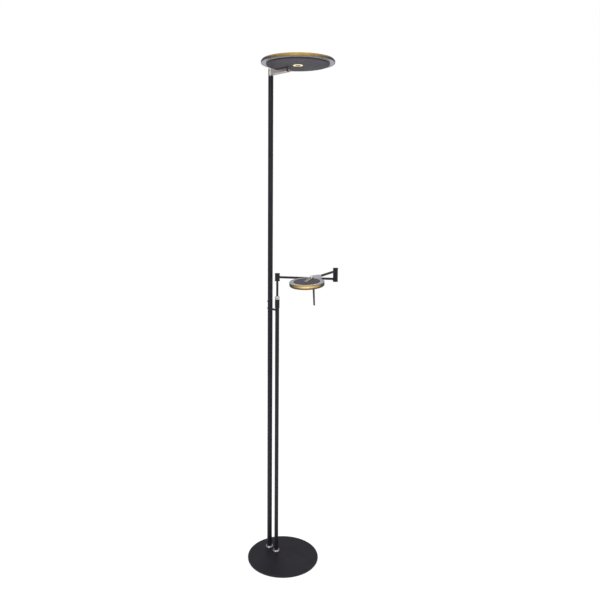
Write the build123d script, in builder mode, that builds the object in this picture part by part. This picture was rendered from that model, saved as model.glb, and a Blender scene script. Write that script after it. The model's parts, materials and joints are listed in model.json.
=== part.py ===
from build123d import *
import os
from math import cos, radians, sin

# Floor lamp with a tilting uplighter on a tall pole and a reading light on a short pole beside it.
# Millimetres. The origin is on the floor under the centre of the base, +Z is up and -Y is the front.

# Base
base_radius = 145
base_top = 10
pad_height = 1.5
pocket_radius = 11
pocket_top = 7
groove_width = 8
groove_top = 6.5
nipple_radius = 5
nipple_bore = 3.4
nipple_reach = 22
washer_thickness = 1.2
nut_height = 3
plug_height = 25

# Poles: outer radius, bore radius, and the place of each axis on the base
main_y = 85
main_radius = 10
main_bore = 8.8
main_seam = 1053
main_top = 1952
reading_y = 42
reading_radius = 8
reading_bore = 7
reading_pole_top = 1077
rosette_height = 7
main_rosette_radius = 16
reading_rosette_radius = 15

# Bridge between the poles, and the two screws at the back of the main pole
bridge_z = 1037
coupler_screw_z = 1066
screw_head_radius = 4
screw_head_height = 6
bolt_radius = 2.5

# Height clamp at the top of the reading pole
sleeve_bottom = 1046
sleeve_top = 1080
sleeve_radius = 9.25
neck_radius = 7.2
neck_top = 1088
nut_top = 1094

# Mast, and the swing arms on it
rod_radius = 4.5
rod_bore = 3.4
rod_bottom = 790
shoulder_bottom = 1155
shoulder_top = 1186
cap_radius = 10.25
cap_height = 4
barrel_radius = 9.5
lower_arm_angle = -53.5
lower_arm_length = 232
lower_arm_z = 1170.5
elbow_bottom = 1160
elbow_split = 1187
elbow_top = 1214
upper_arm_angle = -156.8
upper_arm_z = 1201.5
tube_seat = 6.6

# Reading head: the hinge is on the upper arm's line, and the disc hangs tilted from it
bracket_start = 168
hinge_reach = 250
hinge_z = 1208
rest_tilt = 7.2
disc_reach = 43.35
reading_disc_radius = 47.5
reading_glass_radius = 61.5
reading_housing_top = -5
reading_rim_top = -5.6
reading_glass_top = -9.7
reading_glass_bottom = -19.7
handle_offset = 24.5
handle_bottom = -90.8

# Uplighter head
head_y = -68
top_hinge_y = -23
top_hinge_z = 1962
arm_bottom = 1954.5
arm_top = 1970.3
collar_bottom = 1959
collar_top = 1981.5
top_housing_radius = 118
top_housing_bottom = 1971.5
top_glass_radius = 137.5
top_glass_bottom = 1978
top_glass_top = 1990
wall = 1.5

# Clearances: a part that turns or slides on another, parts that pass each other, and a seat
running = 0.05
passing = 0.3
seat = 0.02
diffuser_gap = 0.1


def level(x, y, z):
    """A level plane with its origin at a point."""
    return Plane(origin=(x, y, z), x_dir=(1, 0, 0), z_dir=(0, 0, 1))


def turn(base, *outline, mode=Mode.ADD):
    """Turn a closed outline of (radius, height) points about the base plane's normal."""
    side = Plane(origin=base.origin, x_dir=base.x_dir, z_dir=-base.y_dir)
    with BuildSketch(side) as section:
        with BuildLine():
            Polyline(*outline, close=True)
        make_face()
    revolve(section.sketch, axis=Axis(base.origin, base.z_dir), mode=mode)


def drum(base, radius, low, high, mode=Mode.ADD):
    """A round bar or hole on the base plane's normal, from one height to another."""
    with BuildSketch(base.offset(low)) as section:
        Circle(radius)
    extrude(section.sketch, amount=high - low, mode=mode)


def pipe(base, radius, bore, low, high):
    """A round tube on the base plane's normal."""
    with BuildSketch(base.offset(low)) as section:
        Circle(radius)
        Circle(bore, mode=Mode.SUBTRACT)
    extrude(section.sketch, amount=high - low)


def heading(angle):
    """The level direction at an angle from +X."""
    return Vector(cos(radians(angle)), sin(radians(angle)), 0)


def save(part, name):
    """Label a finished piece and write its file."""
    part.label = name
    export_step(part, f"parts/{name}.step")


# Planes that the pieces are placed by
floor = level(0, 0, 0)
main_axis = level(0, main_y, 0)
reading_axis = level(0, reading_y, 0)
elbow_point = Vector(0, reading_y, 0) + heading(lower_arm_angle) * lower_arm_length
elbow_axis = Plane(origin=elbow_point, x_dir=heading(upper_arm_angle), z_dir=(0, 0, 1))
lower_run = Plane(
    origin=(0, reading_y, lower_arm_z),
    x_dir=(0, 0, 1),
    z_dir=heading(lower_arm_angle),
)
upper_run = Plane(
    origin=elbow_point + Vector(0, 0, upper_arm_z),
    x_dir=(0, 0, 1),
    z_dir=heading(upper_arm_angle),
)
# Looking along the bridge from the back of the main pole to the front
bridge_run = Plane(origin=(0, main_y, bridge_z), x_dir=(1, 0, 0), z_dir=(0, -1, 0))
coupler_run = Plane(origin=(0, main_y, coupler_screw_z), x_dir=(1, 0, 0), z_dir=(0, -1, 0))
# The reading head's own frame: x runs out along the arm, y along the hinge and z out of the disc's top
arm_way = heading(upper_arm_angle)
head_x = arm_way * cos(radians(rest_tilt)) - Vector(0, 0, sin(radians(rest_tilt)))
head_z = arm_way * sin(radians(rest_tilt)) + Vector(0, 0, cos(radians(rest_tilt)))
hinge_point = elbow_point + arm_way * hinge_reach + Vector(0, 0, hinge_z)
reading_head = Plane(origin=hinge_point, x_dir=head_x, z_dir=head_z)
reading_disc = Plane(origin=hinge_point + head_x * disc_reach, x_dir=head_x, z_dir=head_z)
handle_axis = Plane(
    origin=reading_disc.origin + reading_disc.y_dir * handle_offset,
    x_dir=head_x,
    z_dir=head_z,
)
# Side views of the hinges: x is away from the pole or elbow, y is up
bracket_side = Plane(
    origin=elbow_point + Vector(0, 0, hinge_z),
    x_dir=arm_way,
    z_dir=arm_way.cross(Vector(0, 0, 1)),
)
fork_side = Plane(origin=hinge_point, x_dir=head_x, z_dir=head_x.cross(head_z))
top_disc = level(0, head_y, 0)
top_side = Plane(origin=(0, top_hinge_y, top_hinge_z), x_dir=(0, -1, 0), z_dir=(-1, 0, 0))

os.makedirs("parts", exist_ok=True)

# ---------------------------------------------------------------- base

with BuildPart() as base_pad:
    drum(floor, base_radius - 1.5, 0, pad_height)
save(base_pad.part, "base_pad")

with BuildPart() as base_plate:
    drum(floor, base_radius, pad_height, base_top)
    fillet(base_plate.edges().group_by(Axis.Z)[-1], 3.5)
    chamfer(base_plate.edges().group_by(Axis.Z)[0], 0.8)
    for axis in (main_axis, reading_axis):
        drum(axis, nipple_radius + passing, pad_height, base_top, mode=Mode.SUBTRACT)
        drum(axis, pocket_radius, pad_height, pocket_top, mode=Mode.SUBTRACT)
    # The lead's groove runs under the plate from the short pole past the tall one to the rear edge
    with BuildSketch(Plane.XY.offset(pad_height)):
        with Locations((0, (reading_y + base_radius + 5) / 2)):
            Rectangle(groove_width, base_radius + 5 - reading_y)
    extrude(amount=groove_top - pad_height, mode=Mode.SUBTRACT)
save(base_plate.part, "base_plate")

gland_run = Plane(
    origin=(0, base_radius - 12, (pad_height + groove_top) / 2),
    x_dir=(1, 0, 0),
    z_dir=(0, 1, 0),
)
with BuildPart() as cable_gland:
    with BuildSketch(gland_run):
        Rectangle(groove_width - 2 * seat, groove_top - pad_height - 2 * seat)
    extrude(amount=11)
    turn(gland_run, (0, 11), (2.45, 11), (2.45, 14), (2, 15.5), (0, 15.5))
    drum(gland_run, 1.5, 0, 15.5, mode=Mode.SUBTRACT)
save(cable_gland.part, "cable_gland")

with BuildPart() as pole_nipples:
    for axis in (main_axis, reading_axis):
        pipe(axis, nipple_radius, nipple_bore, pad_height + 0.7, base_top + nipple_reach)
save(pole_nipples.part, "pole_nipples")

with BuildPart() as base_washers:
    for axis in (main_axis, reading_axis):
        pipe(axis, 9.5, nipple_radius + 0.2, pocket_top - washer_thickness, pocket_top)
save(base_washers.part, "base_washers")

with BuildPart() as base_nuts:
    for axis in (main_axis, reading_axis):
        with BuildSketch(axis.offset(pocket_top - washer_thickness - nut_height)):
            RegularPolygon(7.2, 6, major_radius=False)
            Circle(nipple_radius + seat, mode=Mode.SUBTRACT)
        extrude(amount=nut_height)
save(base_nuts.part, "base_nuts")


def rosette(axis, bore, radius):
    """A domed ring that covers the foot of a pole."""
    side = Plane(origin=axis.origin, x_dir=(1, 0, 0), z_dir=(0, -1, 0))
    with BuildSketch(side) as section:
        with BuildLine():
            Line((bore, base_top), (radius, base_top))
            Line((radius, base_top), (radius, base_top + 1.6))
            ThreePointArc(
                (radius, base_top + 1.6),
                (radius - 1.6, base_top + 5),
                (bore + 2, base_top + rosette_height),
            )
            Line((bore + 2, base_top + rosette_height), (bore, base_top + rosette_height))
            Line((bore, base_top + rosette_height), (bore, base_top))
        make_face()
    revolve(section.sketch, axis=Axis(axis.origin, axis.z_dir))


with BuildPart() as main_rosette:
    rosette(main_axis, main_radius + 0.1, main_rosette_radius)
save(main_rosette.part, "main_rosette")

with BuildPart() as reading_rosette:
    rosette(reading_axis, reading_radius + 0.1, reading_rosette_radius)
save(reading_rosette.part, "reading_rosette")

with BuildPart() as main_pole_plug:
    pipe(main_axis, main_bore - seat, nipple_radius + seat, base_top, base_top + plug_height)
save(main_pole_plug.part, "main_pole_plug")

with BuildPart() as reading_pole_plug:
    pipe(
        reading_axis,
        reading_bore - seat,
        nipple_radius + seat,
        base_top,
        base_top + plug_height,
    )
save(reading_pole_plug.part, "reading_pole_plug")

# ---------------------------------------------------------------- poles

seam_chamfer = 0.5
hole_reach = 15

with BuildPart() as main_pole_lower:
    turn(
        main_axis,
        (main_bore, base_top),
        (main_radius, base_top),
        (main_radius, main_seam - seam_chamfer),
        (main_radius - seam_chamfer, main_seam),
        (main_bore, main_seam),
    )
    drum(bridge_run, bolt_radius + 0.1, -hole_reach, hole_reach, mode=Mode.SUBTRACT)
save(main_pole_lower.part, "main_pole_lower")

with BuildPart() as main_pole_upper:
    turn(
        main_axis,
        (main_bore, main_seam),
        (main_radius - seam_chamfer, main_seam),
        (main_radius, main_seam + seam_chamfer),
        (main_radius, main_top - seam_chamfer),
        (main_radius - seam_chamfer, main_top),
        (main_bore, main_top),
    )
    drum(coupler_run, bolt_radius + 0.1, -hole_reach, 0, mode=Mode.SUBTRACT)
save(main_pole_upper.part, "main_pole_upper")

coupler_bore = 5.5
coupler_half = 40
with BuildPart() as pole_coupler:
    pipe(
        main_axis,
        main_bore - seat,
        coupler_bore,
        main_seam - coupler_half,
        main_seam + coupler_half,
    )
    drum(bridge_run, bolt_radius + 0.1, -hole_reach, hole_reach, mode=Mode.SUBTRACT)
    drum(coupler_run, bolt_radius + seat, -hole_reach, 0, mode=Mode.SUBTRACT)
save(pole_coupler.part, "pole_coupler")


def round_head_screw(run, tip):
    """A black button-head screw with a hexagon socket, its head behind the main pole."""
    back = -main_radius
    turn(
        run,
        (0, back - screw_head_height),
        (screw_head_radius - 1.6, back - screw_head_height),
        (screw_head_radius - 0.4, back - screw_head_height + 1.2),
        (screw_head_radius, back - screw_head_height + 3),
        (screw_head_radius, back),
        (bolt_radius, back),
        (bolt_radius, tip - 0.5),
        (bolt_radius - 0.5, tip),
        (0, tip),
    )
    with BuildSketch(run.offset(back - screw_head_height)) as socket:
        RegularPolygon(1.5, 6, major_radius=False)
    extrude(socket.sketch, amount=2.2, mode=Mode.SUBTRACT)


with BuildPart() as coupler_screw:
    round_head_screw(coupler_run, -4.5)
save(coupler_screw.part, "coupler_screw")

# The bolt ends just inside the reading pole's wall, clear of the mast that slides there
with BuildPart() as bridge_bolt:
    round_head_screw(bridge_run, main_y - reading_y - reading_bore + 1.4)
save(bridge_bolt.part, "bridge_bolt")

spacer_radius = 4.2
insert_radius = 3.4
bridge_gap_start = main_radius
bridge_gap_end = main_y - reading_y - reading_radius
with BuildPart() as bridge_spacer:
    pipe(
        bridge_run,
        spacer_radius,
        bolt_radius + 0.1,
        bridge_gap_start - 1,
        bridge_gap_end + 1,
    )
    drum(main_axis, main_radius + seat, bridge_z - 10, bridge_z + 10, mode=Mode.SUBTRACT)
    drum(reading_axis, reading_radius + seat, bridge_z - 10, bridge_z + 10, mode=Mode.SUBTRACT)
save(bridge_spacer.part, "bridge_spacer")

with BuildPart() as bridge_insert:
    pipe(
        bridge_run,
        insert_radius,
        bolt_radius + seat,
        bridge_gap_end + 1,
        bridge_gap_end + 2.5,
    )
save(bridge_insert.part, "bridge_insert")

with BuildPart() as reading_pole:
    pipe(reading_axis, reading_radius, reading_bore, base_top, reading_pole_top)
    drum(
        bridge_run,
        insert_radius + seat,
        bridge_gap_end - 2,
        bridge_gap_end + 4,
        mode=Mode.SUBTRACT,
    )
save(reading_pole.part, "reading_pole")

# ---------------------------------------------------------------- height clamp

with BuildPart() as reading_sleeve:
    turn(
        reading_axis,
        (reading_radius + seat, sleeve_bottom),
        (sleeve_radius - 0.6, sleeve_bottom),
        (sleeve_radius, sleeve_bottom + 0.6),
        (sleeve_radius, sleeve_top - 0.4),
        (sleeve_radius - 0.4, sleeve_top),
        (neck_radius, sleeve_top),
        (neck_radius, neck_top),
        (neck_radius - 1.6, neck_top),
        (neck_radius - 1.6, reading_pole_top),
        (reading_radius + seat, reading_pole_top),
    )
save(reading_sleeve.part, "reading_sleeve")

# A split bush guides the mast, and its upper fingers are squeezed by the nut
collet_top = 1090.5
collet_radius = neck_radius - 1.6 - seat
collet_length = 28
with BuildPart() as rod_collet:
    turn(
        reading_axis,
        (rod_radius + running, reading_pole_top - collet_length),
        (reading_bore - seat, reading_pole_top - collet_length),
        (reading_bore - seat, reading_pole_top),
        (collet_radius, reading_pole_top),
        (collet_radius, collet_top - 1),
        (rod_radius + 0.6, collet_top),
        (rod_radius + running, collet_top),
    )
    with BuildSketch(reading_axis.offset(reading_pole_top)):
        Rectangle(1, 2 * neck_radius)
        Rectangle(2 * neck_radius, 1)
    extrude(amount=collet_top - reading_pole_top, mode=Mode.SUBTRACT)
save(rod_collet.part, "rod_collet")

knurl_count = 30
knurl_radius = 0.4
nut_lip = 0.35
with BuildPart() as clamp_nut:
    turn(
        reading_axis,
        (neck_radius + running, sleeve_top + passing),
        (sleeve_radius - 0.5, sleeve_top + passing),
        (sleeve_radius, sleeve_top + passing + 0.5),
        (sleeve_radius, nut_top - 4.2),
        (rod_radius + 1.9, nut_top),
        (rod_radius + nut_lip, nut_top),
        (rod_radius + nut_lip, collet_top + 0.8),
        (neck_radius - 1.2, collet_top + 0.6),
        (neck_radius + running, neck_top + 0.4),
    )
    with BuildSketch(reading_axis.offset(sleeve_top + 2)):
        with PolarLocations(sleeve_radius + 0.15, knurl_count):
            Circle(knurl_radius)
    extrude(amount=nut_top - 5 - sleeve_top - 2, mode=Mode.SUBTRACT)
save(clamp_nut.part, "clamp_nut")

# ---------------------------------------------------------------- mast and shoulder

with BuildPart() as reading_rod:
    pipe(reading_axis, rod_radius, rod_bore, rod_bottom, shoulder_bottom)
save(reading_rod.part, "reading_rod")

shoulder_pin = 5
shoulder_thread = 2
socket_depth = 15
with BuildPart() as shoulder_post:
    turn(
        reading_axis,
        (shoulder_thread, shoulder_bottom - socket_depth),
        (rod_bore - seat, shoulder_bottom - socket_depth),
        (rod_bore - seat, shoulder_bottom),
        (cap_radius - 0.6, shoulder_bottom),
        (cap_radius, shoulder_bottom + 0.6),
        (cap_radius, shoulder_bottom + cap_height - 0.4),
        (cap_radius - 0.4, shoulder_bottom + cap_height),
        (shoulder_pin, shoulder_bottom + cap_height),
        (shoulder_pin, shoulder_top - cap_height),
        (shoulder_thread, shoulder_top - cap_height),
    )
save(shoulder_post.part, "shoulder_post")

with BuildPart() as shoulder_cap:
    turn(
        reading_axis,
        (2.1, shoulder_top - cap_height),
        (cap_radius - 0.4, shoulder_top - cap_height),
        (cap_radius, shoulder_top - cap_height + 0.4),
        (cap_radius, shoulder_top - 0.8),
        (cap_radius - 0.8, shoulder_top),
        (3.9, shoulder_top),
        (3.9, shoulder_top - 0.3),
        (2.1, shoulder_top - 2.1),
    )
save(shoulder_cap.part, "shoulder_cap")

with BuildPart() as shoulder_screw:
    turn(
        reading_axis,
        (0, shoulder_top - 14),
        (shoulder_thread - seat, shoulder_top - 14),
        (shoulder_thread - seat, shoulder_top - 2.1),
        (3.75, shoulder_top - 0.35),
        (3.75, shoulder_top - 0.05),
        (0, shoulder_top - 0.05),
    )
    with BuildSketch(reading_axis.offset(shoulder_top - 1.6)):
        RegularPolygon(1.3, 6, major_radius=False)
    extrude(amount=2, mode=Mode.SUBTRACT)
save(shoulder_screw.part, "shoulder_screw")

# ---------------------------------------------------------------- lower arm

barrel_chamfer = 0.3
with BuildPart() as shoulder_barrel:
    turn(
        reading_axis,
        (shoulder_pin + running, shoulder_bottom + cap_height + passing),
        (barrel_radius, shoulder_bottom + cap_height + passing),
        (barrel_radius, shoulder_top - cap_height - passing),
        (shoulder_pin + running, shoulder_top - cap_height - passing),
    )
    drum(lower_run, rod_radius + seat, tube_seat, socket_depth, mode=Mode.SUBTRACT)
save(shoulder_barrel.part, "shoulder_barrel")

with BuildPart() as lower_arm_tube:
    pipe(lower_run, rod_radius, rod_bore, tube_seat, lower_arm_length - tube_seat)
save(lower_arm_tube.part, "lower_arm_tube")

elbow_pin_radius = 4
elbow_floor = 3
with BuildPart() as elbow_barrel_lower:
    turn(
        elbow_axis,
        (0, elbow_bottom),
        (cap_radius - 0.8, elbow_bottom),
        (cap_radius, elbow_bottom + 0.8),
        (cap_radius, elbow_bottom + cap_height - 0.4),
        (cap_radius - 0.4, elbow_bottom + cap_height),
        (barrel_radius, elbow_bottom + cap_height),
        (barrel_radius, elbow_split - barrel_chamfer),
        (barrel_radius - barrel_chamfer, elbow_split),
        (elbow_pin_radius + seat, elbow_split),
        (elbow_pin_radius + seat, elbow_bottom + elbow_floor),
        (0, elbow_bottom + elbow_floor),
    )
    drum(
        lower_run,
        rod_radius + seat,
        lower_arm_length - socket_depth,
        lower_arm_length - tube_seat,
        mode=Mode.SUBTRACT,
    )
save(elbow_barrel_lower.part, "elbow_barrel_lower")

with BuildPart() as elbow_cap_pin:
    turn(
        elbow_axis,
        (0, elbow_bottom + elbow_floor + 0.2),
        (elbow_pin_radius, elbow_bottom + elbow_floor + 0.2),
        (elbow_pin_radius, elbow_top - cap_height),
        (cap_radius - 0.4, elbow_top - cap_height),
        (cap_radius, elbow_top - cap_height + 0.4),
        (cap_radius, elbow_top - 0.8),
        (cap_radius - 0.8, elbow_top),
        (0, elbow_top),
    )
save(elbow_cap_pin.part, "elbow_cap_pin")

# ---------------------------------------------------------------- upper arm

with BuildPart() as elbow_barrel_upper:
    turn(
        elbow_axis,
        (elbow_pin_radius + running, elbow_split + passing),
        (barrel_radius - barrel_chamfer, elbow_split + passing),
        (barrel_radius, elbow_split + passing + barrel_chamfer),
        (barrel_radius, elbow_top - cap_height - passing),
        (elbow_pin_radius + running, elbow_top - cap_height - passing),
    )
    drum(upper_run, rod_radius + seat, tube_seat, socket_depth, mode=Mode.SUBTRACT)
save(elbow_barrel_upper.part, "elbow_barrel_upper")

bracket_socket = 18
with BuildPart() as upper_arm_tube:
    pipe(upper_run, rod_radius, rod_bore, tube_seat, bracket_start + bracket_socket)
save(upper_arm_tube.part, "upper_arm_tube")

# The steel bracket tapers from a socket on the arm to a narrow lug at the hinge
lug_radius = 4.5
lug_half = 2.8
lug_rise = 1.3
fork_inner = 3
fork_outer = 6
bracket_half = 5.6
socket_above = 5.7
socket_below = 10
bracket_end = hinge_reach - lug_radius - 1.2
hinge_pin_radius = 1.75
arm_drop = upper_arm_z - hinge_z
with BuildPart() as reading_bracket:
    with BuildSketch(bracket_side):
        with BuildLine():
            Polyline(
                (bracket_start, arm_drop - socket_below),
                (bracket_end - 14.5, -lug_radius + 3),
                (bracket_end, -lug_radius + lug_rise),
                (bracket_end, lug_radius),
                (bracket_start, arm_drop + socket_above),
                close=True,
            )
        make_face()
    extrude(amount=bracket_half, both=True)
    fillet(reading_bracket.edges().filter_by(Axis((0, 0, 0), bracket_side.z_dir)), 0.8)
    with BuildSketch(bracket_side):
        with Locations((hinge_reach, 0)):
            Circle(lug_radius)
        # The neck's underside is raised, clear of the housing's edge as the head tilts
        with Locations((hinge_reach - lug_radius, lug_rise / 2)):
            Rectangle(2 * lug_radius, 2 * lug_radius - lug_rise)
    extrude(amount=lug_half, both=True)
    with BuildSketch(bracket_side):
        with Locations((hinge_reach, 0)):
            Circle(hinge_pin_radius + seat)
    extrude(amount=lug_half, both=True, mode=Mode.SUBTRACT)
    drum(
        upper_run,
        rod_radius + seat,
        bracket_start - 1,
        bracket_start + bracket_socket,
        mode=Mode.SUBTRACT,
    )
save(reading_bracket.part, "reading_bracket")


def hinge_pin(side, reach, radius, half_width, head_radius, head_height):
    """A pin across a hinge with a low head at each end, outside the fork's ears."""
    centre = side.origin + side.x_dir * reach
    across = Plane(origin=centre, x_dir=side.x_dir, z_dir=side.z_dir)
    out = half_width + 0.15
    turn(
        across,
        (0, -out - head_height),
        (head_radius - 0.5, -out - head_height),
        (head_radius, -out - head_height + 0.5),
        (head_radius, -out),
        (radius, -out),
        (radius, out),
        (head_radius, out),
        (head_radius, out + head_height - 0.5),
        (head_radius - 0.5, out + head_height),
        (0, out + head_height),
    )


with BuildPart() as reading_hinge_pin:
    hinge_pin(bracket_side, hinge_reach, hinge_pin_radius, fork_outer, 3.2, 1.2)
save(reading_hinge_pin.part, "reading_hinge_pin")

# ---------------------------------------------------------------- reading head

# A fork of two rails with a floor between them, lying along the housing from the hinge to its middle
fork_end = disc_reach + 11
rail_top = -1.2
fork_floor = reading_housing_top + 1.6
fork_screws_at = (20, 45)
with BuildPart() as reading_fork:
    with BuildSketch(fork_side):
        Circle(lug_radius)
        with BuildLine():
            Polyline(
                (0, -lug_radius),
                (5, reading_housing_top),
                (fork_end, reading_housing_top),
                (fork_end, rail_top - 1.4),
                (14, rail_top),
                (0, lug_radius),
                close=True,
            )
        make_face()
    extrude(amount=fork_outer, both=True)
    with BuildSketch(fork_side):
        with BuildLine():
            Polyline(
                (-10, -10),
                (8, -10),
                (8, fork_floor),
                (fork_end - 3.5, fork_floor),
                (fork_end - 3.5, 10),
                (-10, 10),
                close=True,
            )
        make_face()
    extrude(amount=fork_inner, both=True, mode=Mode.SUBTRACT)
    with BuildSketch(fork_side):
        Circle(hinge_pin_radius + running)
    extrude(amount=fork_outer, both=True, mode=Mode.SUBTRACT)
    with BuildSketch(reading_head.offset(reading_housing_top)):
        with Locations(*[(u, 0) for u in fork_screws_at]):
            Circle(1.3)
    extrude(amount=3, mode=Mode.SUBTRACT)
save(reading_fork.part, "reading_fork")

with BuildPart() as reading_fork_screws:
    for u in fork_screws_at:
        spot = Plane(origin=hinge_point + head_x * u, x_dir=head_x, z_dir=head_z)
        turn(
            spot,
            (0, reading_housing_top - 2.2),
            (1.2, reading_housing_top - 2.2),
            (1.2, fork_floor),
            (2.4, fork_floor),
            (2.4, fork_floor + 0.8),
            (1.7, fork_floor + 1.5),
            (0, fork_floor + 1.5),
        )
        with BuildSketch(spot.offset(fork_floor + 0.9)):
            Rectangle(2.2, 0.6)
            Rectangle(0.6, 2.2)
        extrude(amount=1, mode=Mode.SUBTRACT)
save(reading_fork_screws.part, "reading_fork_screws")

glass_screw_ring = 41.8
glass_screw_start = 45
housing_softening = 0.5
with BuildPart() as reading_housing:
    turn(
        reading_disc,
        (0, reading_housing_top),
        (reading_disc_radius - housing_softening, reading_housing_top),
        (reading_disc_radius, reading_housing_top - housing_softening),
        (reading_disc_radius, reading_glass_top),
        (reading_disc_radius - wall, reading_glass_top),
        (reading_disc_radius - wall, reading_housing_top - wall),
        (0, reading_housing_top - wall),
    )
    boss_top = reading_housing_top - wall
    with BuildSketch(reading_disc.offset(reading_glass_top)):
        with PolarLocations(glass_screw_ring, 3, start_angle=glass_screw_start):
            Circle(3.4)
        with Locations((0, handle_offset)):
            Circle(4.2)
    extrude(amount=boss_top - reading_glass_top)
    with BuildSketch(reading_disc.offset(reading_glass_top)):
        with PolarLocations(glass_screw_ring, 3, start_angle=glass_screw_start):
            Circle(1.5 + seat)
        with Locations((0, handle_offset)):
            Circle(2 + seat)
    extrude(amount=3.2, mode=Mode.SUBTRACT)
    with BuildSketch(reading_head.offset(reading_housing_top - wall)):
        with Locations(*[(u, 0) for u in fork_screws_at]):
            Circle(1.2 + seat)
    extrude(amount=wall, mode=Mode.SUBTRACT)
save(reading_housing.part, "reading_housing")

board_top = reading_housing_top - wall - 0.9
board_bottom = board_top - 1.2
board_radius = 37
stem_clearance = 4.6
switch_height = 1.2
with BuildPart() as reading_led_board:
    with BuildSketch(reading_disc.offset(board_bottom)):
        Circle(board_radius)
        with Locations((0, handle_offset)):
            Circle(stem_clearance, mode=Mode.SUBTRACT)
    extrude(amount=board_top - board_bottom)
    # The push switch under the dimmer button
    with BuildSketch(reading_disc.offset(board_bottom - switch_height)):
        Rectangle(6, 6)
    extrude(amount=switch_height)
save(reading_led_board.part, "reading_led_board")

with BuildPart() as reading_leds:
    with BuildSketch(reading_disc.offset(board_bottom - 0.5)):
        with PolarLocations(31, 12, start_angle=15):
            Rectangle(3, 3)
        with PolarLocations(19, 8, start_angle=22.5):
            Rectangle(3, 3)
    extrude(amount=0.5)
save(reading_leds.part, "reading_leds")

dimmer_hole = 11
with BuildPart() as reading_diffuser:
    with BuildSketch(reading_disc.offset(reading_glass_top + diffuser_gap)):
        Circle(board_radius + 0.6)
        Circle(dimmer_hole, mode=Mode.SUBTRACT)
        with Locations((0, handle_offset)):
            Circle(stem_clearance, mode=Mode.SUBTRACT)
    extrude(amount=0.4)
save(reading_diffuser.part, "reading_diffuser")


def glass_screws(disc, ring, start, face, side, reach, hole=1.5, head=3.6):
    """Three countersunk screws that hold a glass disc to the bosses of its housing."""
    with PolarLocations(ring, 3, start_angle=start) as spots:
        places = [spot.position for spot in spots.local_locations]
    for place in places:
        centre = disc.origin + disc.x_dir * place.X + disc.y_dir * place.Y
        spot = Plane(origin=centre, x_dir=disc.x_dir, z_dir=disc.z_dir * side)
        top = face * side
        turn(
            spot,
            (0, top - reach),
            (hole, top - reach),
            (hole, top - 2.4),
            (head, top - 0.3),
            (head, top - 0.05),
            (0, top - 0.05),
        )
        with BuildSketch(spot.offset(top - 1.4)) as socket:
            RegularPolygon(1.2, 6, major_radius=False)
        extrude(socket.sketch, amount=2, mode=Mode.SUBTRACT)


def glass_screw_holes(disc, ring, start, face, side, depth):
    """The countersunk holes for those screws."""
    with PolarLocations(ring, 3, start_angle=start) as spots:
        places = [spot.position for spot in spots.local_locations]
    for place in places:
        centre = disc.origin + disc.x_dir * place.X + disc.y_dir * place.Y
        spot = Plane(origin=centre, x_dir=disc.x_dir, z_dir=disc.z_dir * side)
        top = face * side
        turn(
            spot,
            (0, top - depth - 1),
            (1.8, top - depth - 1),
            (1.8, top - 2.4),
            (3.9, top - 0.3),
            (3.9, top + 1),
            (0, top + 1),
            mode=Mode.SUBTRACT,
        )


# The housing sits in a recess of the glass, and the rim stands up around it
bevel = 1.8
glass_softening = 0.6
with BuildPart() as reading_glass:
    turn(
        reading_disc,
        (dimmer_hole, reading_glass_bottom),
        (reading_glass_radius - bevel, reading_glass_bottom),
        (reading_glass_radius, reading_glass_bottom + bevel),
        (reading_glass_radius, reading_rim_top - glass_softening),
        (reading_glass_radius - glass_softening, reading_rim_top),
        (reading_disc_radius + 0.1, reading_rim_top),
        (reading_disc_radius + 0.1, reading_glass_top),
        (dimmer_hole, reading_glass_top),
    )
    glass_screw_holes(
        reading_disc, glass_screw_ring, glass_screw_start, reading_glass_bottom, -1, 11
    )
    drum(handle_axis, 2.3, reading_glass_bottom - 1, reading_glass_top + 1, mode=Mode.SUBTRACT)
save(reading_glass.part, "reading_glass")

with BuildPart() as reading_glass_screws:
    glass_screws(
        reading_disc, glass_screw_ring, glass_screw_start, reading_glass_bottom, -1, 12.6
    )
save(reading_glass_screws.part, "reading_glass_screws")

reading_button_radius = 7
press_travel = 0.8
with BuildPart() as reading_dimmer_ring:
    turn(
        reading_disc,
        (reading_button_radius + passing, reading_glass_bottom - 0.9),
        (13.4, reading_glass_bottom - 0.9),
        (14, reading_glass_bottom - 0.4),
        (14, reading_glass_bottom),
        (dimmer_hole - 0.1, reading_glass_bottom),
        (dimmer_hole - 0.1, reading_glass_top - 0.1),
        (reading_button_radius + passing, reading_glass_top - 0.1),
    )
save(reading_dimmer_ring.part, "reading_dimmer_ring")

reading_button_top = board_bottom - switch_height - press_travel - passing
with BuildPart() as reading_dimmer_button:
    turn(
        reading_disc,
        (0, reading_glass_bottom - 1.6),
        (reading_button_radius - 0.8, reading_glass_bottom - 1.6),
        (reading_button_radius, reading_glass_bottom - 0.8),
        (reading_button_radius, reading_button_top),
        (0, reading_button_top),
    )
save(reading_dimmer_button.part, "reading_dimmer_button")

tip_length = 7
with BuildPart() as reading_handle:
    turn(
        handle_axis,
        (0, handle_bottom + tip_length),
        (3, handle_bottom + tip_length),
        (3.65, reading_glass_bottom - 4),
        (5, reading_glass_bottom - 1.6),
        (5, reading_glass_bottom),
        (2, reading_glass_bottom),
        (2, reading_glass_top + 3),
        (0, reading_glass_top + 3),
    )
    drum(
        handle_axis,
        1.6,
        handle_bottom + tip_length,
        handle_bottom + tip_length + 5,
        mode=Mode.SUBTRACT,
    )
save(reading_handle.part, "reading_handle")

with BuildPart() as handle_tip:
    turn(
        handle_axis,
        (0, handle_bottom),
        (1.4, handle_bottom + 0.2),
        (2.6, handle_bottom + 1.2),
        (3.1, handle_bottom + 2.8),
        (3.1, handle_bottom + tip_length),
        (1.6 - seat, handle_bottom + tip_length),
        (1.6 - seat, handle_bottom + tip_length + 4.8),
        (0, handle_bottom + tip_length + 4.8),
    )
save(handle_tip.part, "handle_tip")

# ---------------------------------------------------------------- uplighter arm

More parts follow.
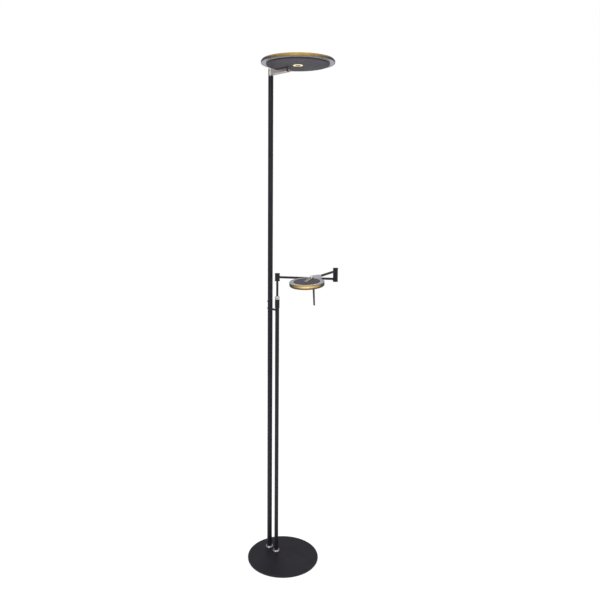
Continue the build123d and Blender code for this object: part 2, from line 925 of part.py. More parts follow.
spigot_radius = 6
flange_radius = 9.9
with BuildPart() as pole_top_bush:
    pipe(main_axis, main_bore - seat, spigot_radius + running, main_top - 35, main_top)
save(pole_top_bush.part, "pole_top_bush")

with BuildPart() as top_spigot:
    turn(
        main_axis,
        (3, main_top - 33),
        (spigot_radius, main_top - 33),
        (spigot_radius, main_top + passing),
        (flange_radius - 0.5, main_top + passing),
        (flange_radius, main_top + passing + 0.5),
        (flange_radius, collar_bottom),
        (spigot_radius, collar_bottom),
        (spigot_radius, collar_bottom + 14),
        (3, collar_bottom + 14),
    )
save(top_spigot.part, "top_spigot")

collar_radius = 10.5
top_lug_radius = 4.2
top_lug_half = 1.7
top_arm_half = 8
top_pin_radius = 2.2
ear_half_depth = 4.2
ear_bottom = -7
ear_inner = 2
ear_outer = 5
shoulder_reach = 8.4
arm_run = Plane(origin=(0, main_y, 0), x_dir=(1, 0, 0), z_dir=(0, -1, 0))
pole_reach = main_y - top_hinge_y
with BuildPart() as top_arm:
    # A bar with broad flats along its lower edges
    with BuildSketch(arm_run):
        with BuildLine():
            Polyline(
                (-top_arm_half + 3.5, arm_bottom),
                (top_arm_half - 3.5, arm_bottom),
                (top_arm_half, arm_bottom + 3.5),
                (top_arm_half, arm_top - 0.8),
                (top_arm_half - 0.8, arm_top),
                (-top_arm_half + 0.8, arm_top),
                (-top_arm_half, arm_top - 0.8),
                (-top_arm_half, arm_bottom + 3.5),
                close=True,
            )
        make_face()
    extrude(amount=pole_reach - shoulder_reach)
    # Behind the disc the bar rises in a ramp to the collar
    with BuildSketch(top_side):
        with BuildLine():
            Polyline(
                (-pole_reach, arm_top - 3 - top_hinge_z),
                (-pole_reach, collar_top - 1.5 - top_hinge_z),
                (-pole_reach + 12, collar_top - 1.5 - top_hinge_z),
                (-pole_reach + 15.5, top_glass_bottom - 1.2 - top_hinge_z),
                (-pole_reach + 31.5, top_glass_bottom - 1.2 - top_hinge_z),
                (-pole_reach + 34, arm_top - 0.8 - top_hinge_z),
                (-pole_reach + 34, arm_top - 3 - top_hinge_z),
                close=True,
            )
        make_face()
    extrude(amount=top_arm_half, both=True)
    drum(main_axis, flange_radius + 0.1, arm_bottom - 1, collar_bottom, mode=Mode.SUBTRACT)
    turn(
        main_axis,
        (0, collar_bottom),
        (collar_radius - 0.5, collar_bottom),
        (collar_radius, collar_bottom + 0.5),
        (collar_radius, collar_top - 1.5),
        (collar_radius - 1.5, collar_top),
        (0, collar_top),
    )
    with BuildSketch(top_side):
        Circle(top_lug_radius)
        with Locations((-shoulder_reach / 2 - 1, 0)):
            Rectangle(shoulder_reach + 2, 2 * top_lug_radius)
    extrude(amount=top_lug_half, both=True)
    with BuildSketch(top_side):
        Circle(top_pin_radius + seat)
    extrude(amount=top_lug_half, both=True, mode=Mode.SUBTRACT)
    drum(main_axis, spigot_radius + seat, arm_bottom - 1, collar_bottom + 14.2, mode=Mode.SUBTRACT)
save(top_arm.part, "top_arm")

with BuildPart() as top_hinge_pin:
    hinge_pin(top_side, 0, top_pin_radius, ear_outer, 3.4, 1.2)
save(top_hinge_pin.part, "top_hinge_pin")

# ---------------------------------------------------------------- uplighter head

housing_lift = top_housing_bottom - top_hinge_z
fork_bridge = 1.9
fork_screw_radius = 1
fork_screws_x = 3.5
fork_screws_y = (top_hinge_y - 2.5, top_hinge_y + 2.5)
fork_screw_places = [(x, y) for x in (-fork_screws_x, fork_screws_x) for y in fork_screws_y]
floor_top = top_housing_bottom + wall
with BuildPart() as top_fork:
    with BuildSketch(top_side):
        with BuildLine():
            Polyline(
                (-ear_half_depth, housing_lift),
                (ear_half_depth, housing_lift),
                (ear_half_depth, ear_bottom + 2),
                (ear_half_depth - 2, ear_bottom),
                (2 - ear_half_depth, ear_bottom),
                (-ear_half_depth, ear_bottom + 2),
                close=True,
            )
        make_face()
    extrude(amount=ear_outer, both=True)
    # The slot for the arm's lug is open in front, below and behind
    slot_bottom = ear_bottom - 1
    slot_top = housing_lift - fork_bridge
    with BuildSketch(top_side):
        with Locations((0, (slot_bottom + slot_top) / 2)):
            Rectangle(4 * ear_half_depth, slot_top - slot_bottom)
    extrude(amount=ear_inner, both=True, mode=Mode.SUBTRACT)
    with BuildSketch(top_side):
        Circle(top_pin_radius + running)
    extrude(amount=ear_outer, both=True, mode=Mode.SUBTRACT)
    with BuildSketch(Plane.XY.offset(top_housing_bottom)):
        with Locations(*fork_screw_places):
            Circle(fork_screw_radius + seat)
    extrude(amount=-5.2, mode=Mode.SUBTRACT)
save(top_fork.part, "top_fork")

# Screws from inside the dish hold the fork, under the light board
with BuildPart() as top_fork_screws:
    for x, y in fork_screw_places:
        turn(
            level(x, y, floor_top),
            (0, -wall - 5),
            (fork_screw_radius, -wall - 5),
            (fork_screw_radius, 0),
            (1.9, 0),
            (1.9, 0.7),
            (1.3, 1.2),
            (0, 1.2),
        )
        with BuildSketch(Plane(origin=(x, y, floor_top + 0.6))):
            Rectangle(1.8, 0.5)
            Rectangle(0.5, 1.8)
        extrude(amount=1, mode=Mode.SUBTRACT)
save(top_fork_screws.part, "top_fork_screws")

top_ring_radius = 18
top_screw_ring = 111.5
top_screw_start = 90
with BuildPart() as top_housing:
    turn(
        top_disc,
        (0, top_housing_bottom),
        (top_housing_radius - 2, top_housing_bottom),
        (top_housing_radius - 0.6, top_housing_bottom + 0.6),
        (top_housing_radius, top_housing_bottom + 2),
        (top_housing_radius, top_glass_bottom),
        (top_housing_radius - wall, top_glass_bottom),
        (top_housing_radius - wall, floor_top),
        (0, floor_top),
    )
    with BuildSketch(top_disc.offset(floor_top)):
        with PolarLocations(top_screw_ring, 3, start_angle=top_screw_start):
            Circle(3.8)
    extrude(amount=top_glass_bottom - floor_top)
    # Low pads lift the light board off the floor of the dish
    with BuildSketch(top_disc.offset(floor_top)):
        with PolarLocations(96, 6, start_angle=0):
            Circle(4)
    extrude(amount=1.6)
    with BuildSketch(top_disc.offset(floor_top + 1)):
        with PolarLocations(top_screw_ring, 3, start_angle=top_screw_start):
            Circle(1.5 + seat)
    extrude(amount=top_glass_bottom - floor_top, mode=Mode.SUBTRACT)
    drum(top_disc, top_ring_radius + 0.1, top_housing_bottom - 1, floor_top, mode=Mode.SUBTRACT)
    with BuildSketch(Plane.XY.offset(top_housing_bottom)):
        with Locations(*fork_screw_places):
            Circle(fork_screw_radius + seat)
    extrude(amount=wall, mode=Mode.SUBTRACT)
save(top_housing.part, "top_housing")

top_board_radius = 104
top_switch_height = 0.9
top_board_bottom = floor_top + 1.7
top_board_top = top_board_bottom + 1.4
with BuildPart() as top_led_board:
    drum(top_disc, top_board_radius, top_board_bottom, top_board_top)
    with BuildSketch(top_disc.offset(top_board_bottom - top_switch_height)):
        Rectangle(6, 6)
    extrude(amount=top_switch_height)
save(top_led_board.part, "top_led_board")

with BuildPart() as top_leds:
    with BuildSketch(top_disc.offset(top_board_top)):
        with PolarLocations(90, 24, start_angle=0):
            Rectangle(4, 4)
        with PolarLocations(55, 12, start_angle=0):
            Rectangle(4, 4)
    extrude(amount=0.5)
save(top_leds.part, "top_leds")

with BuildPart() as top_diffuser:
    drum(top_disc, top_board_radius + 3, top_glass_bottom - 1.2, top_glass_bottom - diffuser_gap)
save(top_diffuser.part, "top_diffuser")

top_bevel = 5
with BuildPart() as top_glass:
    turn(
        top_disc,
        (0, top_glass_bottom),
        (top_glass_radius - glass_softening, top_glass_bottom),
        (top_glass_radius, top_glass_bottom + glass_softening),
        (top_glass_radius, top_glass_top - top_bevel),
        (top_glass_radius - 4, top_glass_top),
        (0, top_glass_top),
    )
    glass_screw_holes(top_disc, top_screw_ring, top_screw_start, top_glass_top, 1, 11)
save(top_glass.part, "top_glass")

with BuildPart() as top_glass_screws:
    glass_screws(top_disc, top_screw_ring, top_screw_start, top_glass_top, 1, 15.5)
save(top_glass_screws.part, "top_glass_screws")

top_button_radius = 10
with BuildPart() as top_dimmer_ring:
    turn(
        top_disc,
        (top_button_radius + passing, top_housing_bottom - 0.9),
        (top_ring_radius - 0.6, top_housing_bottom - 0.9),
        (top_ring_radius, top_housing_bottom - 0.3),
        (top_ring_radius, floor_top),
        (top_ring_radius + 2.5, floor_top),
        (top_ring_radius + 2.5, floor_top + 0.8),
        (top_button_radius + passing, floor_top + 0.8),
    )
save(top_dimmer_ring.part, "top_dimmer_ring")

top_button_top = top_board_bottom - top_switch_height - press_travel - 0.2
with BuildPart() as top_dimmer_button:
    turn(
        top_disc,
        (0, top_housing_bottom - 1.8),
        (top_button_radius - 1, top_housing_bottom - 1.8),
        (top_button_radius, top_housing_bottom - 0.9),
        (top_button_radius, top_button_top),
        (0, top_button_top),
    )
save(top_dimmer_button.part, "top_dimmer_button")
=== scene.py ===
import json
import math

import bpy
from mathutils import Matrix, Vector


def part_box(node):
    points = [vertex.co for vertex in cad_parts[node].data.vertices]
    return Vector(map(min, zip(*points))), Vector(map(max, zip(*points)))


# A black floor lamp: a tilting uplighter on a tall pole, and a reading light on a swing arm beside it.
# Lengths are in metres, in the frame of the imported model.

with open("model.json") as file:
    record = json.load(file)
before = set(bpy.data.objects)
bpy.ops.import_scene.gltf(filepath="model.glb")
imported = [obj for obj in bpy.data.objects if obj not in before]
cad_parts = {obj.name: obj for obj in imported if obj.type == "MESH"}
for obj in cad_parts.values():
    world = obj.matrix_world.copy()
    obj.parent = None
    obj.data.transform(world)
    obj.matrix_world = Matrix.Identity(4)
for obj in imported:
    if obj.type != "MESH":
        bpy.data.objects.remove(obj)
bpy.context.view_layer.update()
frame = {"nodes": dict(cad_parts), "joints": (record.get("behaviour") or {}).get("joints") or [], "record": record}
nodes = frame["nodes"]
joints = {joint["name"]: joint for joint in frame["joints"]}

# ------------------------------------------------------------ smooth shading

SHARP_ANGLE = math.radians(28)


def smooth(piece):
    """Round faces shade smoothly and edges stay crisp. No vertex moves."""
    mesh = piece.data
    if "custom_normal" in mesh.attributes:
        mesh.attributes.remove(mesh.attributes["custom_normal"])
    mesh.polygons.foreach_set("use_smooth", [True] * len(mesh.polygons))
    mesh.set_sharp_from_angle(angle=SHARP_ANGLE)


for piece in nodes.values():
    smooth(piece)

# ------------------------------------------------------------ node helpers


class Graph:
    """A material's node tree, with short calls for the nodes used here."""

    def __init__(self, name):
        self.material = bpy.data.materials.new(name)
        self.material.use_nodes = True
        self.tree = self.material.node_tree
        self.tree.nodes.clear()
        self.output = self.add("ShaderNodeOutputMaterial")

    def add(self, kind, **settings):
        node = self.tree.nodes.new(kind)
        for key, value in settings.items():
            setattr(node, key, value)
        return node

    def link(self, source, target):
        self.tree.links.new(source, target)

    def set(self, node, **inputs):
        """Sets or links sockets by name, with _ for a space."""
        for key, value in inputs.items():
            socket = node.inputs[key.replace("_", " ")]
            if isinstance(value, bpy.types.NodeSocket):
                self.link(value, socket)
            else:
                socket.default_value = value
        return node

    def place(self, matrix=None, stretch=(1, 1, 1)):
        """Object coordinates, in another frame if one is given, stretched along its axes."""
        point = self.add("ShaderNodeTexCoord").outputs["Object"]
        if matrix is not None:
            inverse = matrix.inverted()
            spot, turn, _ = inverse.decompose()
            mapping = self.add("ShaderNodeMapping", vector_type="POINT")
            mapping.inputs["Location"].default_value = spot
            mapping.inputs["Rotation"].default_value = turn.to_euler()
            self.link(point, mapping.inputs["Vector"])
            point = mapping.outputs["Vector"]
        if stretch != (1, 1, 1):
            scaling = self.add("ShaderNodeMapping", vector_type="POINT")
            scaling.inputs["Scale"].default_value = stretch
            self.link(point, scaling.inputs["Vector"])
            point = scaling.outputs["Vector"]
        return point

    def noise(self, point, scale, detail=3.0, roughness=0.5):
        node = self.add("ShaderNodeTexNoise")
        self.set(node, Vector=point, Scale=scale, Detail=detail, Roughness=roughness)
        return node.outputs["Fac"]

    def ramp(self, value, low, high, start, end):
        """Maps value from start..end to low..high, and holds beyond."""
        node = self.add("ShaderNodeMapRange", clamp=True)
        self.link(value, node.inputs["Value"])
        node.inputs["From Min"].default_value = start
        node.inputs["From Max"].default_value = end
        node.inputs["To Min"].default_value = low
        node.inputs["To Max"].default_value = high
        return node.outputs["Result"]

    def colours(self, value, stops):
        node = self.add("ShaderNodeValToRGB")
        band = node.color_ramp
        while len(band.elements) < len(stops):
            band.elements.new(0.5)
        for element, (position, colour) in zip(band.elements, stops):
            element.position = position
            element.color = (*colour, 1)
        self.link(value, node.inputs["Fac"])
        return node.outputs["Color"]

    def mix(self, factor, first, second):
        node = self.add("ShaderNodeMix", data_type="RGBA")
        for socket, value in ((node.inputs[0], factor), (node.inputs[6], first), (node.inputs[7], second)):
            if isinstance(value, bpy.types.NodeSocket):
                self.link(value, socket)
            elif isinstance(value, tuple):
                socket.default_value = (*value, 1)
            else:
                socket.default_value = value
        return node.outputs[2]

    def maths(self, operation, first, second=0.0):
        node = self.add("ShaderNodeMath", operation=operation)
        for socket, value in zip(node.inputs, (first, second)):
            if isinstance(value, bpy.types.NodeSocket):
                self.link(value, socket)
            else:
                socket.default_value = value
        return node.outputs["Value"]

    def bump(self, height, strength, distance, normal=None):
        node = self.add("ShaderNodeBump")
        self.set(node, Height=height, Strength=strength, Distance=distance)
        if normal is not None:
            self.link(normal, node.inputs["Normal"])
        return node.outputs["Normal"]

    def edges(self, radius, start=0.02, end=0.3):
        """1 on outer and inner edges of about this radius, and 0 on open faces."""
        bevel = self.add("ShaderNodeBevel", samples=6)
        bevel.inputs["Radius"].default_value = radius
        flat = self.add("ShaderNodeNewGeometry").outputs["Normal"]
        dot = self.add("ShaderNodeVectorMath", operation="DOT_PRODUCT")
        self.link(bevel.outputs["Normal"], dot.inputs[0])
        self.link(flat, dot.inputs[1])
        turned = self.maths("SUBTRACT", 1.0, dot.outputs["Value"])
        return self.ramp(turned, 0.0, 1.0, start, end)

    def radius(self, point):
        """Distance from the frame's z axis."""
        split = self.add("ShaderNodeSeparateXYZ")
        self.link(point, split.inputs[0])
        x2 = self.maths("MULTIPLY", split.outputs["X"], split.outputs["X"])
        y2 = self.maths("MULTIPLY", split.outputs["Y"], split.outputs["Y"])
        return self.maths("SQRT", self.maths("ADD", x2, y2))

    def principled(self, **inputs):
        node = self.add("ShaderNodeBsdfPrincipled")
        self.set(node, **inputs)
        self.link(node.outputs["BSDF"], self.output.inputs["Surface"])
        return node


# ------------------------------------------------------------ places

# The two heads' own frames, with z out of the disc's top
tilt = joints["head_tilt"]
hinge_point = Vector(tilt["pos_m"])
head_y = Vector(tilt["axis"]).normalized()
press = Vector(joints["reading_dimmer_press"]["axis"]).normalized()
head_x = head_y.cross(press)
REACH = 0.04335
reading_frame = Matrix.Translation(hinge_point + head_x * REACH) @ Matrix(
    (head_x, head_y, press)
).transposed().to_4x4()
low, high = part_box("top_glass")
top_centre = (low + high) / 2
top_frame = Matrix.Translation(Vector((top_centre.x, top_centre.y, 0)))


def along(direction):
    """A frame whose x runs along a level direction."""
    x = Vector(direction).normalized()
    z = Vector((0, 0, 1))
    y = z.cross(x)
    return Matrix((x, y, z)).transposed().to_4x4()


arm_frame = along((head_x.x, head_x.y, 0))

# ------------------------------------------------------------ finishes

# The spans that the values of a soft noise, a fine one and a patchy one mostly cover
CLOUDY = (0.35, 0.68)
FINE = (0.3, 0.7)
PATCHY = (0.45, 0.75)


def powder_coat(name, dark, light, rough, grain=1500, mottle=9):
    """Fine-grained satin paint with a faint mottle, rubbed a little lighter along its edges."""
    g = Graph(name)
    point = g.place()
    cloud = g.noise(point, mottle, 4.0, 0.55)
    speck = g.noise(point, grain, 2.0, 0.6)
    paint = g.mix(g.ramp(cloud, 0, 1, *CLOUDY), dark, light)
    paint = g.mix(g.ramp(speck, 0, 0.22, 0.5, 0.72), paint, tuple(c * 1.9 for c in light))
    worn = g.ramp(g.noise(point, 55, 3.0), 0.1, 0.8, 0.42, 0.66)
    rubbed = g.maths("MULTIPLY", g.edges(0.0006), worn)
    paint = g.mix(rubbed, paint, tuple(c * 3.2 for c in light))
    smear = g.noise(point, 24, 5.0, 0.6)
    gloss = g.ramp(smear, rough - 0.05, rough + 0.06, *CLOUDY)
    shape = g.bump(speck, 0.28, 0.00006)
    g.principled(Base_Color=paint, Roughness=gloss, Normal=shape, IOR=1.46, Specular_IOR_Level=0.3)
    return g.material


def brushed(name, matrix, dark, light, rough=0.3, stretch=(14, 900, 900)):
    """Metal brushed along the x axis of its frame, with a few deeper strokes and handling marks."""
    g = Graph(name)
    stroke = g.noise(g.place(matrix, stretch), 1.0, 4.0, 0.62)
    long, across, up = stretch
    deep = g.noise(g.place(matrix, (long * 0.6, across * 0.25, up * 0.25)), 1.0, 2.0, 0.5)
    point = g.place()
    cloud = g.noise(point, 38, 4.0, 0.6)
    metal = g.mix(g.ramp(stroke, 0, 1, *FINE), dark, light)
    metal = g.mix(g.ramp(deep, 0, 0.35, 0.56, 0.75), metal, tuple(c * 0.72 for c in dark))
    metal = g.mix(g.edges(0.0005), metal, tuple(min(1, c * 1.18) for c in light))
    handled = g.ramp(cloud, rough - 0.05, rough + 0.07, *CLOUDY)
    gloss = g.maths("ADD", handled, g.ramp(stroke, -0.05, 0.05, *FINE))
    shape = g.bump(stroke, 0.22, 0.00004)
    g.principled(Base_Color=metal, Roughness=gloss, Normal=shape, Metallic=1.0)
    return g.material


def polished(name, tint, rough=0.07):
    """Plated metal with hair-fine polishing lines round its axis and a little dust."""
    g = Graph(name)
    lines = g.noise(g.place(None, (60, 60, 2600)), 1.0, 3.0, 0.6)
    point = g.place()
    cloud = g.noise(point, 85, 4.0, 0.6)
    metal = g.mix(g.ramp(cloud, 0, 1, 0.35, 0.7), tuple(c * 0.93 for c in tint), tint)
    dusty = g.ramp(cloud, rough, rough + 0.08, *PATCHY)
    gloss = g.maths("ADD", dusty, g.ramp(lines, 0, 0.05, 0.4, 0.7))
    shape = g.bump(lines, 0.08, 0.00003)
    g.principled(Base_Color=metal, Roughness=gloss, Normal=shape, Metallic=1.0)
    return g.material


def spun(name, matrix, dark, light, rough=0.28):
    """Metal turned on a lathe, with fine rings about its frame's z axis."""
    g = Graph(name)
    point = g.place(matrix)
    rings = g.noise(g.maths("MULTIPLY", g.radius(point), 2600), 1.0, 3.0, 0.6)
    cloud = g.noise(g.place(), 160, 3.0)
    metal = g.mix(g.ramp(rings, 0, 1, *FINE), dark, light)
    gloss = g.ramp(cloud, rough - 0.05, rough + 0.07, *CLOUDY)
    shape = g.bump(rings, 0.2, 0.00003)
    g.principled(Base_Color=metal, Roughness=gloss, Normal=shape, Metallic=1.0)
    return g.material


def moulded(name, dark, light, rough, grain=900, bump=0.25):
    """Moulded plastic or rubber with a fine spark-eroded grain."""
    g = Graph(name)
    point = g.place()
    speck = g.noise(point, grain, 3.0, 0.6)
    cloud = g.noise(point, 60, 4.0, 0.6)
    tone = g.mix(g.ramp(cloud, 0, 1, *CLOUDY), dark, light)
    gloss = g.ramp(speck, rough - 0.05, rough + 0.06, *CLOUDY)
    g.principled(Base_Color=tone, Roughness=gloss, Normal=g.bump(speck, bump, 0.00008), IOR=1.5)
    return g.material


def lit(name, matrix, inner, outer, reach, strength, prism=900):
    """Opal plastic with the light behind it: a fine prism pattern, warmer towards its edge."""
    g = Graph(name)
    point = g.place(matrix)
    span = g.ramp(g.radius(point), 0, 1, reach * 0.35, reach)
    cells = g.add("ShaderNodeTexVoronoi", feature="F1")
    g.set(cells, Vector=point, Scale=prism)
    facet = g.ramp(cells.outputs["Distance"], 1.0, 0.86, 0.0, 0.7)
    glow = g.mix(span, inner, outer)
    power = g.maths("MULTIPLY", facet, strength)
    g.principled(
        Base_Color=g.mix(0.72, glow, (0.06, 0.05, 0.03)),
        Roughness=g.ramp(cells.outputs["Distance"], 0.4, 0.55, 0.0, 0.7),
        Normal=g.bump(cells.outputs["Distance"], 0.3, 0.0001),
        Emission_Color=glow,
        Emission_Strength=power,
    )
    return g.material


GLASS_TINT = (0.69, 0.695, 0.75)
GROUND_TINT = (0.025, 0.02, 0.014)
FROST_TINT = (0.9, 0.86, 0.76)
FROST_GLOW = (1.0, 0.85, 0.55)
# Painted light: fixed glows for the inside of the ground rim and for the recess wall, in place of the light that
# reaches them
PAINTED_INNER_LIGHT = (0.27, 0.27, 0.31)
PAINTED_RECESS_LIGHT = (1.1, 0.58, 0.1)
# How softly one surface of the glass turns into the next, and how deep the ground skin of the rim is
SOFT = 0.0002
SKIN = 0.0003


def edge_lit_glass(name, matrix, wall, bevel, frost, rim_colours, shine, recess=None):
    """Clear plate glass, frosted and lit where the light stands behind it, whose satin-ground rim glows.

    wall is the rim's radius. bevel and frost are the (radius, lowest, highest) of the rim's bevel and of the
    frosted face, and recess that of a wall on which the lamp's warm light is painted as a glow. rim_colours are
    (height, colour) stops up the rim, and shine is the frosted face's strength.
    """
    g = Graph(name)
    point = g.place(matrix)
    split = g.add("ShaderNodeSeparateXYZ")
    g.link(point, split.inputs[0])
    height = split.outputs["Z"]
    reach = g.radius(point)

    def band(lowest, highest):
        """1 between two heights."""
        above = g.ramp(height, 0, 1, lowest - SOFT, lowest + SOFT)
        return g.maths("MULTIPLY", above, g.ramp(height, 1, 0, highest - SOFT, highest + SOFT))

    inside = g.add("ShaderNodeNewGeometry").outputs["Backfacing"]
    outside = g.maths("SUBTRACT", 1.0, inside)
    side = g.ramp(reach, 0, 1, wall - 2 * SKIN, wall - SKIN)
    past_bevel = g.ramp(reach, 0, 1, bevel[0] - SOFT, bevel[0] + SOFT)
    slope = g.maths("MULTIPLY", past_bevel, band(bevel[1], bevel[2]))
    slope = g.maths("MULTIPLY", slope, g.maths("SUBTRACT", 1.0, side))
    rim = g.maths("ADD", side, slope)
    within_frost = g.ramp(reach, 1, 0, frost[0] - 2 * SOFT, frost[0] + 2 * SOFT)
    frosted = g.maths("MULTIPLY", within_frost, band(frost[1], frost[2]))
    frosted = g.maths("MULTIPLY", frosted, outside)
    grind = g.noise(g.place(matrix, (1, 1, 5)), 900, 3.0, 0.6)
    smear = g.noise(point, 42, 5.0, 0.6)
    polish = g.ramp(smear, 0.0, 0.03, *PATCHY)
    satin = g.ramp(grind, 0.22, 0.38, *FINE)
    worked = g.maths("MAXIMUM", rim, frosted)
    polish = g.maths("MULTIPLY", g.maths("SUBTRACT", 1.0, worked), polish)
    gloss = g.maths("ADD", g.maths("MULTIPLY", worked, satin), polish)
    # The light leaves the rim mostly straight out, so it fades where the rim turns away
    layer = g.add("ShaderNodeLayerWeight")
    layer.inputs["Blend"].default_value = 0.5
    turned = layer.outputs["Facing"]
    straight = g.maths("POWER", g.ramp(turned, 1.0, 0.0, 0.0, 1.0), 4.2)
    slanted = g.maths("POWER", g.ramp(turned, 1.0, 0.0, 0.32, 0.96), 2.6)
    leaving = g.maths("ADD", g.maths("MULTIPLY", side, straight), g.maths("MULTIPLY", slope, slanted))
    leaving = g.maths("MULTIPLY", leaving, outside)
    patchy = g.ramp(g.noise(point, 46, 4.0), 0.8, 1.12, *CLOUDY)
    rim_power = g.maths("MULTIPLY", leaving, patchy)
    lowest = rim_colours[0][0]
    highest = rim_colours[-1][0]
    stops = [((spot - lowest) / (highest - lowest), colour) for spot, colour in rim_colours]
    rim_glow = g.colours(g.ramp(height, 0, 1, lowest, highest), stops)
    # Painted light on surfaces seen through the glass, from within: a fixed grey glow on the ground rim stands in
    # for the light that reaches it, and a warm glow on the recess stands in for the lamp's light falling there
    inner = g.maths("MULTIPLY", rim, inside)
    inner_light_painted = PAINTED_INNER_LIGHT
    power = g.maths("ADD", rim_power, g.maths("MULTIPLY", frosted, shine))
    power = g.maths("ADD", power, inner)
    # Painted light: the lamp's warm light on the recess wall, drawn as a glow
    if recess:
        outward = g.ramp(reach, 0, 1, recess[0] - SKIN, recess[0] - SOFT)
        inward = g.ramp(reach, 1, 0, recess[0] + SOFT, recess[0] + SKIN)
        recess_light_painted = g.maths("MULTIPLY", g.maths("MULTIPLY", outward, inward), band(recess[1], recess[2]))
        power = g.maths("ADD", power, recess_light_painted)
        inner_light_painted = g.mix(recess_light_painted, PAINTED_INNER_LIGHT, PAINTED_RECESS_LIGHT)
        inner = g.maths("MAXIMUM", inner, recess_light_painted)
    clear = g.maths("SUBTRACT", 1.0, g.maths("ADD", rim, frosted))
    tone = g.mix(rim, GLASS_TINT, GROUND_TINT)
    tone = g.mix(frosted, tone, FROST_TINT)
    g.principled(
        Base_Color=tone,
        Roughness=gloss,
        Normal=g.bump(grind, 0.1, 0.00003),
        IOR=1.5,
        Specular_IOR_Level=0.25,
        Transmission_Weight=clear,
        Emission_Color=g.mix(inner, g.mix(frosted, rim_glow, FROST_GLOW), inner_light_painted),
        Emission_Strength=power,
    )
    return g.material


# Pairs of a darker and a lighter tone
BLACK = ((0.0085, 0.0078, 0.0125), (0.0125, 0.0115, 0.0175))
BOLT_BLACK = ((0.02, 0.02, 0.021), (0.032, 0.032, 0.034))
HOUSING_GREY = ((0.042, 0.0385, 0.045), (0.056, 0.051, 0.059))
HOUSING_DARK = ((0.041, 0.037, 0.046), (0.054, 0.049, 0.06))
STEEL = ((0.5, 0.455, 0.43), (0.68, 0.63, 0.6))

# Finishes by material slot, or by node for the diffusers and glasses
finishes = {
    "base_black": powder_coat("base_black", *BLACK, 0.5, grain=1300, mottle=7),
    "pole_black": powder_coat("pole_black", *BLACK, 0.42, grain=1800, mottle=11),
    "fastener_black": powder_coat("fastener_black", *BOLT_BLACK, 0.36, grain=2200),
    "housing_grey": powder_coat("housing_grey", *HOUSING_GREY, 0.46, grain=1700),
    "housing_dark": powder_coat("housing_dark", *HOUSING_DARK, 0.48, grain=1500),
    "foam_pad": moulded("foam_pad", (0.02, 0.02, 0.021), (0.04, 0.04, 0.042), 0.85, 500, 0.6),
    "rubber_black": moulded("rubber_black", (0.015, 0.015, 0.016), (0.028, 0.028, 0.03), 0.55, 800, 0.3),
    "nylon": moulded("nylon", (0.62, 0.6, 0.54), (0.74, 0.72, 0.66), 0.45),
    "board_white": moulded("board_white", (0.68, 0.69, 0.66), (0.8, 0.8, 0.78), 0.3, 1200, 0.12),
    "chrome": polished("chrome", (0.44, 0.385, 0.392), 0.12),
    "fastener_steel": polished("fastener_steel", (0.6, 0.6, 0.62), 0.22),
    "bracket_steel": brushed("bracket_steel", arm_frame, (0.7, 0.66, 0.66), (0.9, 0.86, 0.86)),
    "handle_grey": spun("handle_grey", reading_frame, (0.072, 0.066, 0.062), (0.105, 0.097, 0.092), 0.36),
    "button_brass": spun("button_brass", top_frame, (0.3, 0.105, 0.055), (0.46, 0.18, 0.1), 0.3),
    "led_lens": lit("led_lens", None, (1.0, 0.8, 0.42), (1.0, 0.8, 0.42), 0.1, 4.0),
    "light_ring": lit("light_ring", top_frame, (1.0, 0.74, 0.36), (1.0, 0.9, 0.56), 0.017, 1.0),
    "top_diffuser": lit("top_diffuser", top_frame, (1.0, 0.9, 0.66), (1.0, 0.84, 0.5), 0.107, 0.35),
    "reading_diffuser": lit(
        "reading_diffuser", reading_frame, (1.0, 0.9, 0.6), (1.0, 0.78, 0.4), 0.0376, 0.35
    ),
    "top_glass": edge_lit_glass(
        "top_glass",
        top_frame,
        wall=0.1375,
        bevel=(0.1334, 1.9846, 1.9902),
        frost=(0.106, 1.9897, 1.9903),
        rim_colours=(
            (1.978, (0.27, 0.19, 0.07)),
            (1.981, (0.55, 0.31, 0.045)),
            (1.9848, (0.6, 0.37, 0.05)),
            (1.986, (0.7, 0.47, 0.07)),
            (1.990, (0.64, 0.46, 0.085)),
        ),
        shine=1.3,
    ),
    "reading_glass": edge_lit_glass(
        "reading_glass",
        reading_frame,
        wall=0.0615,
        bevel=(0.0594, -0.0199, -0.0177),
        frost=(0.0372, -0.0200, -0.0194),
        rim_colours=(
            (-0.0197, (0.05, 0.03, 0.012)),
            (-0.0175, (0.11, 0.07, 0.03)),
            (-0.0152, (0.28, 0.17, 0.05)),
            (-0.0132, (0.88, 0.5, 0.09)),
            (-0.0105, (1.35, 1.02, 0.4)),
            (-0.0085, (0.8, 0.58, 0.19)),
            (-0.0056, (0.62, 0.42, 0.18)),
        ),
        shine=1.4,
        recess=(0.0476, -0.0099, -0.0054),
    ),
}

# Nodes whose grain or gloss differs from the rest of their slot
top_steel = brushed("top_steel", along((0, -1, 0)), *STEEL)
reading_steel = brushed("reading_steel", arm_frame, *STEEL)
nut_chrome = polished("nut_chrome", (0.62, 0.61, 0.63), 0.3)

special = {
    "top_arm": top_steel,
    "top_fork": top_steel,
    "top_hinge_pin": top_steel,
    "reading_fork": reading_steel,
    "reading_hinge_pin": reading_steel,
    "clamp_nut": nut_chrome,
}
slots = {part["node"]: part["material_slot"] for part in frame["record"]["subparts"]}
for name, piece in nodes.items():
    finish = special.get(name) or finishes.get(name) or finishes[slots[name]]
    piece.data.materials.clear()
    piece.data.materials.append(finish)

# ------------------------------------------------------------ studio

FLOOR_RADIUS = 2.6
FLOOR_DROP = 0.0003
FLOOR_SHINE = 0.67


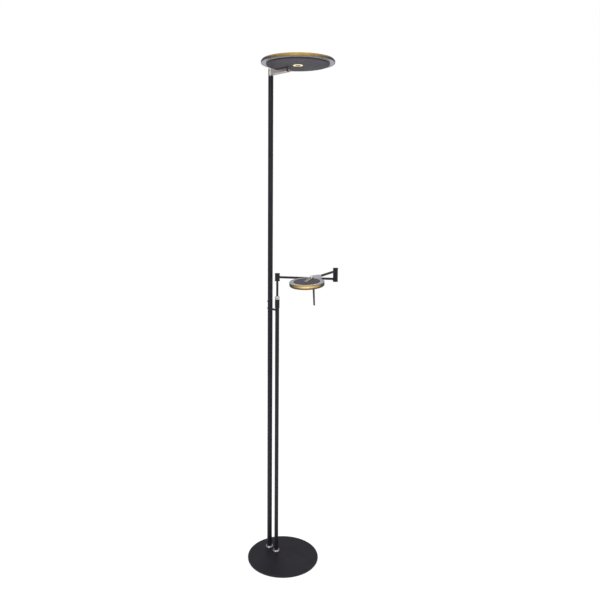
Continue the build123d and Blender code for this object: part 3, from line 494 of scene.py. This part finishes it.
def floor_disc():
    """A pale round floor, wide enough to carry every shadow."""
    steps = 96
    turns = [2 * math.pi * i / steps for i in range(steps)]
    points = [(FLOOR_RADIUS * math.cos(t), FLOOR_RADIUS * math.sin(t), 0) for t in turns]
    mesh = bpy.data.meshes.new("floor")
    mesh.from_pydata(points, [], [list(range(steps))])
    floor = bpy.data.objects.new("floor", mesh)
    floor.location.z = -FLOOR_DROP
    bpy.context.scene.collection.objects.link(floor)
    g = Graph("floor")
    cloud = g.ramp(g.noise(g.place(), 3.0), 0, 1, *FINE)
    tone = g.mix(cloud, (0.5, 0.5, 0.5), (0.53, 0.53, 0.53))
    g.principled(
        Base_Color=tone,
        Roughness=0.9,
        Specular_IOR_Level=0.0,
        Emission_Color=(1, 1, 1, 1),
        Emission_Strength=FLOOR_SHINE,
    )
    mesh.materials.append(g.material)


floor_disc()


def softbox(name, place, target, width, height, power):
    """A soft rectangular light that faces a point."""
    light = bpy.data.lights.new(name, "AREA")
    light.shape = "RECTANGLE"
    light.size = width
    light.size_y = height
    light.energy = power
    lamp = bpy.data.objects.new(name, light)
    lamp.location = place
    lamp.rotation_euler = (Vector(target) - Vector(place)).to_track_quat("-Z", "Y").to_euler()
    bpy.context.scene.collection.objects.link(lamp)


softbox("overhead", place=(0.1, 0.1, 4.2), target=(0, 0, 0), width=4.2, height=4.2, power=60)
softbox("key", place=(-2.9, -1.5, 2.1), target=(0, 0, 1.0), width=1.6, height=2.6, power=34)
softbox("fill", place=(0.9, -3.1, 1.5), target=(0, 0, 1.0), width=1.4, height=2.4, power=18)


def studio_world():
    """A white backdrop behind the lamp, in a dimmer room that lights it evenly."""
    world = bpy.data.worlds.new("studio")
    bpy.context.scene.world = world
    world.use_nodes = True
    tree = world.node_tree
    tree.nodes.clear()

    def background(colour, strength):
        node = tree.nodes.new("ShaderNodeBackground")
        node.inputs["Color"].default_value = (*colour, 1)
        node.inputs["Strength"].default_value = strength
        return node.outputs["Background"]

    path = tree.nodes.new("ShaderNodeLightPath")
    choose = tree.nodes.new("ShaderNodeMixShader")
    out = tree.nodes.new("ShaderNodeOutputWorld")
    tree.links.new(path.outputs["Is Camera Ray"], choose.inputs[0])
    tree.links.new(background((0.96, 0.97, 1.0), 0.5), choose.inputs[1])
    tree.links.new(background((1, 1, 1), 1.0), choose.inputs[2])
    tree.links.new(choose.outputs[0], out.inputs["Surface"])


studio_world()

bpy.context.scene.view_settings.view_transform = "Standard"
bpy.context.scene.view_settings.look = "None"

# ------------------------------------------------------------ camera

CAMERA_PLACE = Vector((-1.6410, -1.8038, 1.501))
HEADING = math.radians(47.3)
PITCH = math.radians(7.04)
ROLL = math.radians(0.368)
level_way = Vector((math.cos(HEADING), math.sin(HEADING), 0))
level_right = Vector((math.sin(HEADING), -math.cos(HEADING), 0))
forward = level_way * math.cos(PITCH) - Vector((0, 0, math.sin(PITCH)))
level_up = level_right.cross(forward)
right = level_right * math.cos(ROLL) + level_up * math.sin(ROLL)
up = level_up * math.cos(ROLL) - level_right * math.sin(ROLL)
lens = bpy.data.cameras.new("camera")
lens.sensor_width = 36
lens.lens = 37.54
lens.shift_x = 0.01855
lens.shift_y = -0.0486
lens.clip_start = 0.01
camera = bpy.data.objects.new("camera", lens)
camera.matrix_world = Matrix.Translation(CAMERA_PLACE) @ Matrix((right, up, -forward)).transposed().to_4x4()
bpy.context.scene.collection.objects.link(camera)
bpy.context.scene.camera = camera
